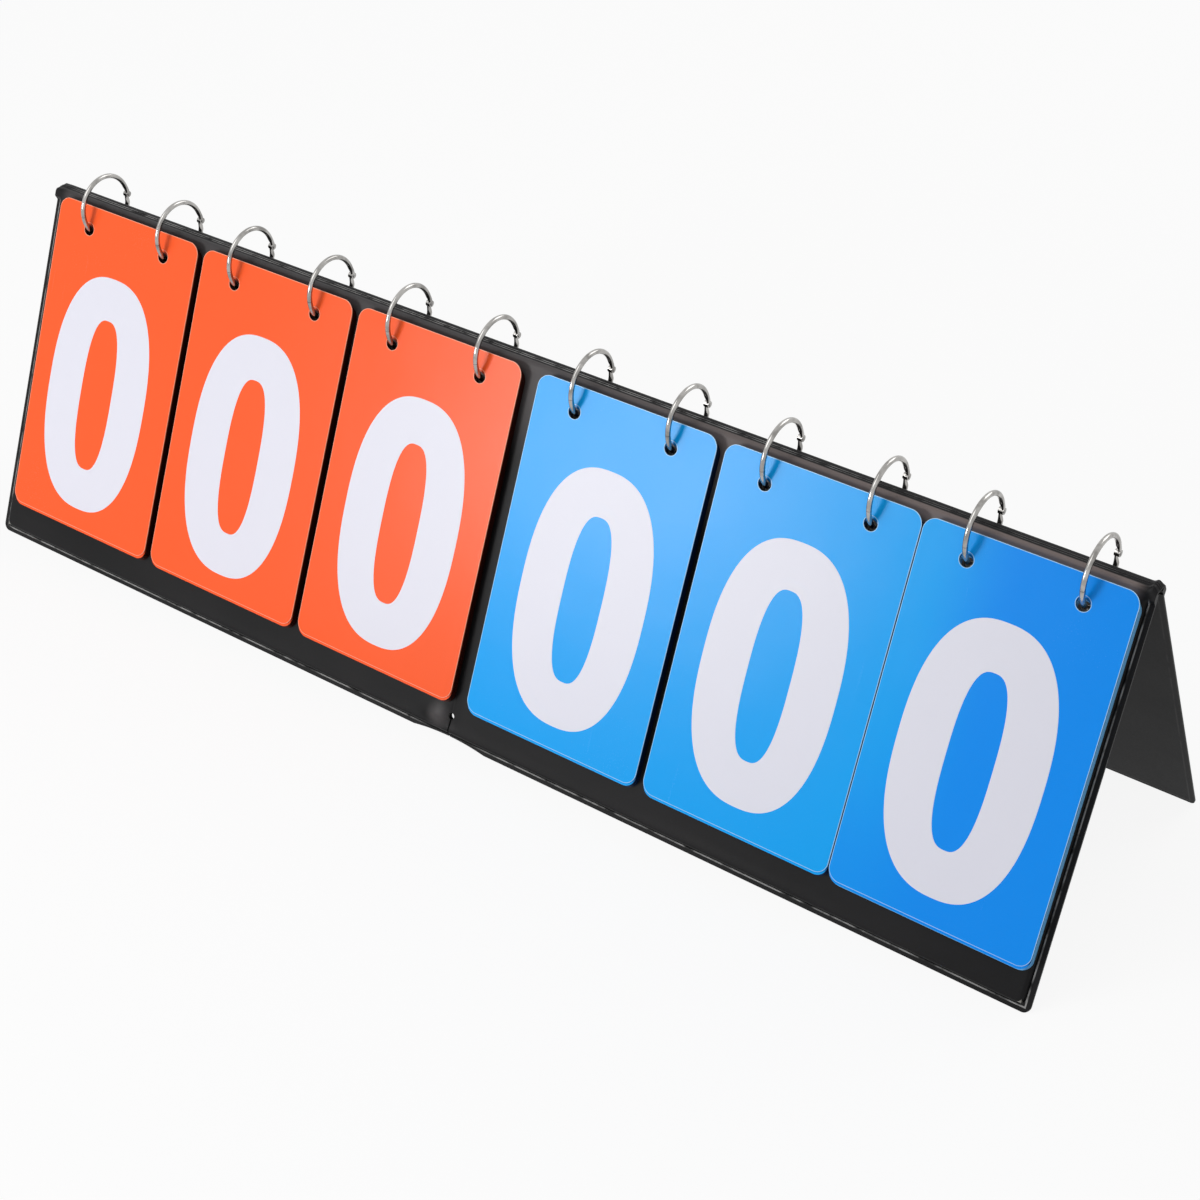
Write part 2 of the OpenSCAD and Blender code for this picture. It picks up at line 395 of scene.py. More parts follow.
@dataclass(frozen=True)
class Vinyl:
    """Black covering sheet: fine grain, smoother polish with painted highlight lines on the weld
    beads and crease ridges, and painted sheen by the front crease and the slit.
    """

    name: str = "black_vinyl"
    colour: Colour = tint(21, 21, 22)
    worn: Colour = tint(30, 29, 30)
    # painted highlight: pale colour of the lines along the bead and ridge crests
    polished: Colour = tint(168, 167, 166)
    # grey at the left and brown at the right are the colours of the painted sheen strip
    grey: Colour = tint(80, 78, 79)
    brown: Colour = tint(124, 113, 110)
    roughness: float = 0.4
    sheen: float = 0.1
    grain: float = 1500
    grain_depth: float = 0.025 * MM
    cloud_depth: float = 0.5 * MM
    bead_line: Span = (0.12 * MM, 0.42 * MM)
    bead_below: Span = (2.5 * MM, 5 * MM)
    bead_beside_notch: Span = (9 * MM, 24 * MM)
    ridge_line: Span = (0.06 * MM, 0.26 * MM)
    ridge_from_end: Span = (5 * MM, 14 * MM)
    # the painted highlight on the ridge crests fades towards the right
    ridge_dulls: Span = (50 * MM, 200 * MM)
    # where the painted sheen strip lies along the front crease and down the face
    strip_over: float = 1.6 * MM
    strip_soft: float = 0.3 * MM
    strip_down: Span = (6 * MM, 42 * MM)
    strip_from_end: Span = (3 * MM, 9 * MM)
    browns: Span = (-50 * MM, 200 * MM)
    # where the painted highlight patch lies beside the slit, around the pucker
    pucker: Span = (6 * MM, 8.5 * MM)
    pucker_reach: Span = (1 * MM, 7 * MM)

    def make(self) -> bpy.types.Material:
        """Builds the shader.

        Returns:
            The material.
        """
        s = Surface(self.name)
        panel = PanelFrame(Side.FRONT)
        cloud = s.noise(14, 4)
        grain = s.noise(self.grain, 2)
        streak = s.noise(90, 5, Vector((0.15, 1, 1)))
        shade = (cloud * 0.7 + streak * 0.3).ramp(0.35, 0.72)
        x, y, z = s.parts(s.place)
        beyond = abs(y) - panel.spine_width / 2
        down = beyond * math.sin(panel.lean) + (panel.crease_height - z) * math.cos(panel.lean)
        end_in = panel.length / 2 - abs(x)
        inset = end_in.at_most(panel.slope_height - down)
        bead = (1 - abs(inset - panel.bead_in).ramp(*self.bead_line)) * down.ramp(*self.bead_below)
        bead = bead * abs(x).ramp(*self.bead_beside_notch)
        ridge = 1 - abs(beyond + panel.ridge_in).ramp(*self.ridge_line)
        ridge = ridge * end_in.ramp(*self.ridge_from_end)
        # crest lines of the weld bead and the crease ridges, where a highlight is painted
        crest = bead.at_least(ridge * (1 - 0.75 * x.ramp(*self.ridge_dulls)))
        # one mask: it lowers roughness as real polish and paints the highlight into the colour
        polish_and_highlight = crest * s.noise(160, 3).ramp(0.3, 0.6)
        # painted sheen: a pale strip along the front crease, fading down the slope and paler to the
        # right
        over = (-beyond).ramp(self.strip_over - self.strip_soft, self.strip_over + self.strip_soft)
        in_front = (-y).ramp(0, 1 * MM)
        strip = in_front * (1 - over) * (1 - down.ramp(*self.strip_down))
        strip = strip * end_in.ramp(*self.strip_from_end)
        # painted highlight: a pale patch left of the slit, where the pucker would catch the light
        left, up = x + self.pucker[0], panel.slope_height - down - self.pucker[1]
        painted_highlight_patch = (1 - ((left**2 + up**2) ** 0.5).ramp(*self.pucker_reach)) * in_front
        plain = s.mix(shade, self.colour, self.worn)
        sheen_strength = 0.5 + x.ramp(-panel.length / 2, panel.length / 4) * 0.25
        pale = (strip * (sheen_strength + cloud * 0.4)).at_least(painted_highlight_patch * 0.7)
        # the painted sheen and highlight laid over the plain sheet's colour
        with_painted_sheen = s.mix(pale, plain, s.mix(x.ramp(*self.browns), self.grey, self.brown))
        rough = self.roughness + (cloud - 0.5) * 0.16 + (grain - 0.5) * 0.12 - polish_and_highlight * 0.12
        relief = s.bump(grain, self.grain_depth, s.bump(cloud, self.cloud_depth))
        return s.finish(
            Base_Color=s.mix(polish_and_highlight * 0.8, with_painted_sheen, self.polished),
            Roughness=rough,
            Normal=relief,
            Specular_IOR_Level=self.sheen,
        )


@dataclass(frozen=True)
class CardPlastic:
    """Sheet plastic: a painted sheen towards its left, a pale cut edge with a painted highlight
    line round a top card's face, a painted shadow line round a deck's faces, and painted shade on a
    deck's cut faces, painted light on the last blue deck's.
    """

    name: str
    colour: Colour
    # colour towards the left: the sheen-lightened blue painted on the last blue stack, elsewhere
    # the face colour
    left: Colour
    # colour of the rim round the outline: painted highlight on a top card, painted shadow line on a
    # deck
    core: Colour
    # colour off the face: cut faces and lower steps, painted shade on a deck
    side: Colour
    frame: PanelFrame
    middle: Span
    size: Span
    face: float
    hole_span: float
    hole_drop: float
    rim: float
    corner: float = 5 * MM
    hole_radius: float = 2.7 * MM
    face_layer: Span = (0.1 * MM, 0.04 * MM)
    roughness: float = 0.24
    sheen: float = 0.17
    grain: float = 1900
    grain_depth: float = 0.012 * MM
    cloud_depth: float = 0.25 * MM

    def make(self) -> bpy.types.Material:
        """Builds the shader.

        Returns:
            The material.
        """
        s = Surface(self.name)
        turn = self.frame.matrix.inverted()
        flat = s.node(
            "ShaderNodeMapping",
            {"vector_type": "POINT"},
            {"Vector": s.place, "Location": turn.to_translation(), "Rotation": turn.to_euler()},
        )
        x, y, level = s.parts(flat)
        x, y = x - self.middle[0], y - self.middle[1]
        width, height = self.size
        across = abs(x) - (width / 2 - self.corner)
        along = abs(y) - (height / 2 - self.corner)
        round_part = (across.at_least(0) ** 2 + along.at_least(0) ** 2) ** 0.5
        outside = round_part + across.at_least(along).at_most(0) - self.corner
        from_hole = ((abs(x) - self.hole_span / 2) ** 2 + (y - self.hole_drop) ** 2) ** 0.5
        nearest = outside.at_least(self.hole_radius - from_hole)
        edge = nearest.ramp(-self.rim, -0.4 * self.rim)
        on_face = level.ramp(*(self.face - depth for depth in self.face_layer))
        # painted sheen: the face blends to the left colour towards the upper left
        sheen_at_left = (1 - x.ramp(-0.45 * width, 0)) * (0.3 + 0.7 * y.ramp(-0.5 * height, 0))
        # painted highlight on a top card's rim, painted shadow line on a deck's rim
        front = s.mix(edge * 0.85, s.mix(sheen_at_left, self.colour, self.left), self.core)
        cloud = s.noise(18, 3)
        grain = s.noise(self.grain, 2)
        scuffs = s.noise(260, 6, Vector((1, 0.08, 0.08))).ramp(0.66, 0.86)
        rough = self.roughness + (cloud - 0.5) * 0.12 + (grain - 0.5) * 0.1 + scuffs * 0.08
        return s.finish(
            # off the face, the cut faces and the deck's lower steps take the side colour, painted
            # shade on a deck
            Base_Color=s.mix(on_face, self.side, front),
            Roughness=rough,
            Normal=s.bump(grain, self.grain_depth, s.bump(cloud, self.cloud_depth)),
            Specular_IOR_Level=self.sheen,
        )


@dataclass(frozen=True)
class Ink:
    """White printed film of the numbers."""

    name: str = "white_ink"
    colour: Colour = tint(227, 227, 238)
    thin: Colour = tint(214, 215, 226)
    roughness: float = 0.34
    sheen: float = 0.3
    grain: float = 1900
    grain_depth: float = 0.01 * MM
    cloud_depth: float = 0.2 * MM

    def make(self) -> bpy.types.Material:
        """Builds the shader.

        Returns:
            The material.
        """
        s = Surface(self.name)
        cloud = s.noise(20, 3)
        grain = s.noise(self.grain, 2)
        patches = s.noise(420, 3).ramp(0.6, 0.9)
        return s.finish(
            Base_Color=s.mix(patches * 0.15 + cloud * 0.1, self.colour, self.thin),
            Roughness=self.roughness + (grain - 0.5) * 0.1,
            Normal=s.bump(grain, self.grain_depth, s.bump(cloud, self.cloud_depth)),
            Specular_IOR_Level=self.sheen,
        )


@dataclass(frozen=True)
class Nickel:
    """Bright plated steel wire with faint draw marks."""

    name: str = "nickel_wire"
    colour: Colour = tint(178, 176, 173)
    hazed: Colour = tint(132, 130, 127)
    roughness: float = 0.16
    mark_depth: float = 0.006 * MM

    def make(self) -> bpy.types.Material:
        """Builds the shader.

        Returns:
            The material.
        """
        s = Surface(self.name)
        marks = s.noise(2600, 3)
        haze = s.noise(220, 4)
        return s.finish(
            Base_Color=s.mix(haze.ramp(0.35, 0.75), self.colour, self.hazed),
            Metallic=1.0,
            Roughness=self.roughness + (haze - 0.5) * 0.14 + (marks - 0.5) * 0.06,
            Normal=s.bump(marks, self.mark_depth),
        )


@dataclass(frozen=True)
class GreyBoard:
    """Pressed grey board inside the panels."""

    name: str = "grey_board"
    colour: Colour = tint(140, 138, 132)
    fibre: Colour = tint(112, 110, 104)
    roughness: float = 0.85
    fibre_depth: float = 0.04 * MM

    def make(self) -> bpy.types.Material:
        """Builds the shader.

        Returns:
            The material.
        """
        s = Surface(self.name)
        fibres = s.noise(900, 6, Vector((0.4, 1, 1)))
        return s.finish(
            Base_Color=s.mix(fibres.ramp(0.4, 0.7), self.colour, self.fibre),
            Roughness=self.roughness + (fibres - 0.5) * 0.1,
            Normal=s.bump(fibres, self.fibre_depth),
        )


def show(name: str, data: Any) -> bpy.types.Object:
    """Puts a mesh, a lamp or a camera in the scene.

    Args:
        name: The object's name.
        data: What it shows.

    Returns:
        The new object.
    """
    made = bpy.data.objects.new(name, data)
    bpy.context.scene.collection.objects.link(made)
    return made


class PieceMaker:
    """Makes plain mesh pieces and hands them to the frame."""

    smooth_angle: float = math.radians(35)

    @classmethod
    def from_faces(
        cls, name: str, points: Any, faces: Iterable[Sequence[int]]
    ) -> bpy.types.Object:
        """Makes a closed mesh piece with its faces outwards.

        Args:
            name: The piece's name.
            points: Its vertices in the stand's frame.
            faces: Vertex numbers of each face.

        Returns:
            The new object.
        """
        mesh = bpy.data.meshes.new(name)
        mesh.from_pydata([tuple(p) for p in points], [], [tuple(f) for f in faces])
        work = bmesh.new()
        work.from_mesh(mesh)
        bmesh.ops.recalc_face_normals(work, faces=work.faces)
        work.to_mesh(mesh)
        work.free()
        return cls.add(name, mesh)

    @classmethod
    def add(cls, name: str, mesh: bpy.types.Mesh) -> bpy.types.Object:
        """Shows a mesh as a piece.

        Args:
            name: The piece's name.
            mesh: Its mesh.

        Returns:
            The new object.
        """
        piece = show(name, mesh)
        mesh.polygons.foreach_set("use_smooth", [True] * len(mesh.polygons))
        mesh.set_sharp_from_angle(angle=cls.smooth_angle)
        return piece

    @classmethod
    def settle(cls, piece: bpy.types.Object) -> bpy.types.Object:
        """Turns a piece with live modifiers into a plain mesh piece of the same name.

        Args:
            piece: The piece.

        Returns:
            The plain piece.
        """
        name = piece.name
        graph = bpy.context.evaluated_depsgraph_get()
        mesh = bpy.data.meshes.new_from_object(piece.evaluated_get(graph))
        bpy.data.objects.remove(piece)
        mesh.name = name
        return cls.add(name, mesh)

    @classmethod
    def carve(cls, piece: bpy.types.Object, cutter: bpy.types.Object) -> bpy.types.Object:
        """Cuts one closed piece out of another and drops the cutter.

        Args:
            piece: The piece to cut.
            cutter: The closed shape to take away.

        Returns:
            The carved piece.
        """
        cut = piece.modifiers.new("cut", "BOOLEAN")
        cut.solver = "MANIFOLD"
        cut.operation = "DIFFERENCE"
        cut.object = cutter
        carved = cls.settle(piece)
        bpy.data.objects.remove(cutter)
        return carved

    @staticmethod
    def dress(
        piece: bpy.types.Object,
        material: bpy.types.Material,
        body: str | None = None,
        slot: str | None = None,
        replaces: Sequence[str] = (),
    ) -> bpy.types.Object:
        """Gives a piece its material and its place in the frame.

        Args:
            piece: The piece.
            material: Its finish.
            body: The body that it rides on, left out for a piece that rides on none or for a frame
                node.
            slot: The record's material slot; not used.
            replaces: Frame nodes that it stands for.

        Returns:
            The same piece.
        """
        piece.data.materials.clear()
        piece.data.materials.append(material)
        if body is not None:
            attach(piece, body)
        if replaces:
            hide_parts(*replaces)
        LOG.info("%s: %d faces", piece.name, len(piece.data.polygons))
        return piece


def prism(outline: Sequence[Span], low: float, high: float) -> tuple[list, list]:
    """Stands an outline up between two levels.

    Args:
        outline: Corners in order.
        low: Lower level.
        high: Upper level.

    Returns:
        Vertices and faces of a closed prism.
    """
    count = len(outline)
    points = [(x, y, z) for z in (low, high) for x, y in outline]
    faces = [tuple(range(count)), tuple(range(count, 2 * count))]
    faces += [(k, (k + 1) % count, (k + 1) % count + count, k + count) for k in range(count)]
    return points, faces


def round_outline(x: float, y: float, radius: float, corners: int = 40) -> list[Span]:
    """Corners of a circle around x, y, in order."""
    turns = [2 * math.pi * k / corners for k in range(corners)]
    return [(x + radius * math.cos(t), y + radius * math.sin(t)) for t in turns]


def steps(stops: Sequence[float], gaps: Sequence[float]) -> np.ndarray:
    """Lines of a grid that are closer together in some stretches.

    Args:
        stops: Ends of the stretches, in order.
        gaps: Wanted distance between lines in each stretch.

    Returns:
        The places of all the lines.
    """
    lines = [np.array([stops[0]])]
    for start, end, gap in zip(stops, stops[1:], gaps):
        count = max(1, round((end - start) / gap))
        lines.append(np.linspace(start, end, count + 1)[1:])
    return np.concatenate(lines)


def smooth(value: np.ndarray) -> np.ndarray:
    """Smooth step of a value from 0 to 1."""
    t = np.clip(value, 0, 1)
    return t * t * (3 - 2 * t)


def hump(value: np.ndarray, width: float) -> np.ndarray:
    """Bell that is 1 at 0 and falls off within about a width."""
    return np.exp(-((value / width) ** 2))


@dataclass
class PanelCover:
    """Outer vinyl sheet of one panel, with all that is welded, pressed and punched in it."""

    panel: PanelFrame
    ring_places: list[float]
    shoulder: float = 1.5 * MM
    shoulder_corner: float = 6 * MM
    corner: float = 3 * MM
    corner_steps: int = 8
    seam_band: float = 9 * MM
    foot_band: float = 24 * MM
    top_band: float = 3 * MM
    skin_meets: float = 2 * MM
    bead_width: float = 1.0 * MM
    bead_height: float = 0.35 * MM
    seam_dip: Span = (0.16 * MM, 3 * MM)
    seam_line: Span = (0.14 * MM, 0.5 * MM)
    sag: Span = (0.4 * MM, 3 * MM)
    sag_up: float = 22 * MM
    pucker: Span = (6.5 * MM, 8 * MM)
    pucker_size: Span = (4.5 * MM, 5 * MM)
    pucker_height: float = 1.0 * MM
    wave: float = 0.035 * MM
    wave_rows: tuple[Span, ...] = ((0.021, 1.3), (0.017, 0.4), (0.047, 2.1))
    sunk: float = 0.07 * MM
    flat_in: float = 4 * MM
    cut_over: float = 3 * MM
    hole_radius: float = 3 * MM
    hole_drop: float = 12.7375 * MM
    notch_width: float = 35 * MM
    notch_height: float = 1.4 * MM
    notch_steps: int = 12
    slit_length: float = 10 * MM
    slit_width: float = 0.6 * MM
    relief_radius: float = 1.3 * MM
    relief_steps: int = 30

    def build(self, vinyl: bpy.types.Material) -> None:
        """Makes the sheet, rounded over the boards, with a welded seam around it.

        Args:
            vinyl: Its finish.
        """
        panel = self.panel
        half, height, band = panel.length / 2, panel.slope_height, panel.edge_band
        xs = steps(
            [-half, -half + band, -self.seam_band, self.seam_band, half - band, half],
            [0.25 * MM, 3 * MM, 0.4 * MM, 3 * MM, 0.25 * MM],
        )
        last = -panel.skin_drop
        ys = steps(
            [-height, -height + band, -height + self.foot_band, last - self.top_band, last],
            [0.25 * MM, 1.2 * MM, 3 * MM, 0.5 * MM],
        )
        x, y = np.meshgrid(xs, ys)
        top = self.surface(x, y)
        seam = panel.sheet_thickness - panel.thickness
        welded = np.minimum(half - np.abs(x), y + height) < panel.seam_width
        under = np.where(welded, seam, np.maximum(top - panel.sheet_thickness, seam))
        points = np.concatenate([np.stack([x, y, z], -1).reshape(-1, 3) for z in (top, under)])
        grid = np.arange(x.size).reshape(x.shape)
        corners = [grid[:-1, :-1], grid[:-1, 1:], grid[1:, 1:], grid[1:, :-1]]
        quads = np.stack(corners, -1).reshape(-1, 4)
        lower = quads[:, ::-1] + x.size
        rim = np.concatenate([grid[0, :], grid[1:, -1], grid[-1, -2::-1], grid[-2:0:-1, 0]])
        ahead = np.roll(rim, -1)
        walls = np.stack([rim + x.size, ahead + x.size, ahead, rim], -1)
        faces = np.concatenate([quads, lower, walls])
        placed = panel.place(points)
        placed[:, 2] = np.maximum(placed[:, 2], 0)
        word = panel.side.word
        piece = PieceMaker.from_faces(f"{word}_cover", placed, faces.tolist())
        piece = PieceMaker.carve(piece, self.cutter())
        replaced = [f"{word}_cover_sheet"]
        PieceMaker.dress(piece, vinyl, f"{word}_panel", "cover_vinyl", replaced)

    def surface(self, x: np.ndarray, y: np.ndarray) -> np.ndarray:
        """Height of the outer sheet over the panel's face.

        Args:
            x: Places along the stand.
            y: Places up the slope.

        Returns:
            The height at each place, 0 on the face and lower on the welded seam.
        """
        panel = self.panel
        flange = 2 * panel.sheet_thickness - panel.thickness
        side_in = panel.length / 2 - np.abs(x)
        bottom_in = y + panel.slope_height
        r = self.shoulder_corner
        corner_in = r - np.hypot(np.maximum(r - side_in, 0), np.maximum(r - bottom_in, 0))
        inset = np.where((side_in < r) & (bottom_in < r), corner_in, np.minimum(side_in, bottom_in))
        climb = np.clip((inset - panel.seam_width + 0.2 * self.shoulder) / self.shoulder, 0, 1)
        tray = flange * (1 - np.sqrt(np.clip(1 - (1 - climb) ** 2, 0, 1)))
        round_bead = np.clip((inset - panel.bead_in) / self.bead_width, -0.5, 0.5)
        low = tray + np.where(climb <= 0, self.bead_height * np.cos(round_bead * math.pi), 0)
        top = smooth((y + panel.skin_drop + self.skin_meets) / self.skin_meets)
        face = low * (1 - top)
        dip = sum(depth * hump(x, width) for depth, width in (self.seam_dip, self.seam_line))
        sag = self.sag[0] * np.exp(-bottom_in / self.sag_up) * hump(x, self.sag[1])
        left, up = x + self.pucker[0], bottom_in - self.pucker[1]
        bulge = self.pucker_height * hump(left, self.pucker_size[0]) * hump(up, self.pucker_size[1])
        rows = zip((x, y, x), self.wave_rows)
        across, along, slow = (np.sin(v / length + start) for v, (length, start) in rows)
        inner = smooth((inset - panel.seam_width - self.shoulder) / self.flat_in)
        slack = inner * (self.wave * (across * along + slow) - self.sunk) * (1 - top)
        return face - inner * (dip + sag - bulge) + slack

    def cutter(self) -> bpy.types.Object:
        """Everything that is punched or trimmed out of the sheet.

        Returns:
            One object of separate closed prisms.
        """
        panel, over = self.panel, self.cut_over
        height = panel.slope_height
        turn = 1 if panel.side is Side.FRONT else -1
        outlines = [
            round_outline(turn * x, -self.hole_drop, self.hole_radius) for x in self.ring_places
        ]
        bulge = ((self.notch_width / 2) ** 2 + self.notch_height**2) / (2 * self.notch_height)
        reach = math.asin(self.notch_width / 2 / bulge)
        each = self.notch_steps
        arc = [reach * (k / each - 1) for k in range(2 * each + 1)]
        centre = -height + self.notch_height - bulge
        notch = [(bulge * math.sin(a), centre + bulge * math.cos(a)) for a in arc]
        top = -height + self.slit_length
        gape = self.slit_width / 2
        mouth = math.asin(gape / self.relief_radius)
        count, relief = self.relief_steps, self.relief_radius
        ring = [mouth + (2 * math.pi - 2 * mouth) * k / count for k in range(count + 1)]
        slit = [(relief * -math.sin(a), top - relief * math.cos(a)) for a in ring]
        floor = -height + self.notch_height
        low = -height - over
        left = [(notch[0][0], low), *notch[:each], (-gape, floor)]
        outlines.append([*left, *slit, (gape, floor), *notch[each + 1 :], (notch[-1][0], low)])
        count, r = self.corner_steps, self.corner
        turns = [math.pi / 2 * k / count for k in range(count + 1)]
        for sign in (-1, 1):
            cx, cy = panel.length / 2 - r, -height + r
            bow = [(sign * (cx + r * math.sin(t)), cy - r * math.cos(t)) for t in turns]
            far = (sign * (panel.length / 2 + over), cy)
            outlines.append([*bow, far, (far[0], low), (bow[0][0], low)])
        points: list = []
        faces: list = []
        for outline in outlines:
            made, around = prism(outline, -panel.thickness - over, over)
            faces += [tuple(k + len(points) for k in face) for face in around]
            points += made
        return PieceMaker.from_faces("cutter", panel.place(points), faces)


@dataclass
class CreaseSkin:
    """Soft strip of the covering that bends at one crease, with a knob at its right end."""

    panel: PanelFrame
    skin_share: float = 0.9
    wedge_drop: float = 0.8 * MM
    spine_blend: Span = (0.5 * MM, 1.5 * MM)
    seal: float = 0.4 * MM
    ridge_height: float = 0.2 * MM
    ridge_half_width: float = 0.3 * MM
    bend: float = 0.9 * MM
    blend_in: float = 1.2 * MM
    blunt_in: float = 1.2 * MM
    blunt_share: float = 0.8
    crown: float = 0.25 * MM
    crown_in: float = 5 * MM
    ripple: float = 0.03 * MM
    ripple_lengths: Span = (0.0083, 0.0131)
    knob_height: float = 1.4 * MM
    knob_in: float = 1.8 * MM
    knob_width: float = 1.3 * MM

    def build(self, vinyl: bpy.types.Material) -> None:
        """Makes the strip over the crease between the panel and the spine.

        Args:
            vinyl: Its finish.
        """
        panel = self.panel
        half, band = panel.length / 2, panel.edge_band
        xs = steps([-half, -half + band, half - band, half], [0.4 * MM, 2.5 * MM, 0.25 * MM])
        outer = self.profile()
        normal = np.gradient(outer, axis=0)
        normal = np.stack([-normal[:, 1], normal[:, 0]], -1)
        normal /= np.linalg.norm(normal, axis=1)[:, None]
        crease, up = panel.section
        down = (crease - outer) @ up
        skin = self.skin_share * panel.sheet_thickness
        wedge = panel.thickness - panel.sheet_thickness - skin
        wedge = wedge * smooth(down[:, None] / self.wedge_drop)
        before, over = self.spine_blend
        on_spine = smooth((outer[:, :1] + panel.spine_width / 2 + before) / over)
        rows = []
        for x in xs:
            end_in = half - abs(x)
            filled = float(smooth(np.array((panel.seam_width - end_in) / self.seal + 1)))
            inner = outer - normal * (skin + wedge * filled)
            knob = self.knob_height * hump(x - half + self.knob_in, self.knob_width)
            short, long = self.ripple_lengths
            ripple = self.ripple * (math.sin(x / short) + math.sin(x / long + 1))
            rise = knob + (self.crown + ripple) * float(smooth(np.array(end_in / self.crown_in)))
            blunt = 1 - math.sqrt(1 - max(0.0, 1 - end_in / self.blunt_in) ** 2)
            full = outer + np.array([0, 1]) * on_spine * rise
            edge = inner + (full - inner) * (1 - self.blunt_share * on_spine * blunt)
            loop = np.concatenate([edge, inner[::-1]])
            rows.append(np.insert(loop, 0, x, axis=1))
        count, around = len(rows), 2 * len(outer)
        faces = [tuple(range(around)), tuple((count - 1) * around + k for k in range(around))]
        for here in range(0, (count - 1) * around, around):
            for k in range(around):
                n = (k + 1) % around
                faces.append((here + k, here + n, here + around + n, here + around + k))
        points = np.concatenate(rows)
        front = panel.side is Side.FRONT
        way = 1 if front else -1
        points = points * np.array([1, way, 1])
        piece = PieceMaker.from_faces(f"{panel.side.word}_crease_skin", points, faces)
        replaced = ["spine_cover_strip"] if front else []
        PieceMaker.dress(piece, vinyl, None, "cover_vinyl", replaced)
        low = tuple(panel.place([(0, -self.blend_in, 0)])[0])
        if front:
            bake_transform(piece)
        else:
            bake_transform(piece)

    def profile(self) -> np.ndarray:
        """Section of the skin from the panel's face over the crease to the middle of the spine.

        Returns:
            Points in the plane across the stand.
        """
        panel = self.panel
        crease, up = panel.section
        a, b = crease - up * self.bend, crease + np.array([self.bend, 0])
        path = [crease + up * s for s in steps([-panel.skin_drop, -self.bend], [0.3 * MM])]
        for t in np.linspace(0, 1, 8)[1:-1]:
            path.append((1 - t) ** 2 * a + 2 * t * (1 - t) * crease + t * t * b)
        for s in steps([self.bend, panel.spine_width / 2], [0.1 * MM]):
            off = min(1.0, abs(s - panel.ridge_in) / self.ridge_half_width)
            lift = self.ridge_height * (0.5 + 0.5 * math.cos(off * math.pi))
            path.append(crease + np.array([s, lift]))
        return np.array(path)


@dataclass
class VinylStand:
    """The covered panels, the soft skin over the creases, the boards and the linings."""

    frame: dict[str, Any]
    ring_places: list[float]

    def build(self) -> None:
        """Makes the coverings and dresses the boards, the inner sheets and the spine's lining."""
        vinyl, grey = Vinyl().make(), GreyBoard().make()
        colour, worn = tint(24, 24, 25), tint(28, 28, 29)
        lining = Vinyl("black_lining", colour, worn, worn, worn, worn, roughness=0.5).make()
        nodes = self.frame["nodes"]
        for side in Side:
            panel = PanelFrame(side)
            PanelCover(panel, self.ring_places).build(vinyl)
            CreaseSkin(panel).build(vinyl)
            for end in ENDS:
                PieceMaker.dress(nodes[f"{side.word}_board_{end}"], grey, slot="core_board")
        for name in ("front_lining_sheet", "rear_lining_sheet", "spine_lining_strip"):
            PieceMaker.dress(nodes[name], lining, slot="lining_vinyl")


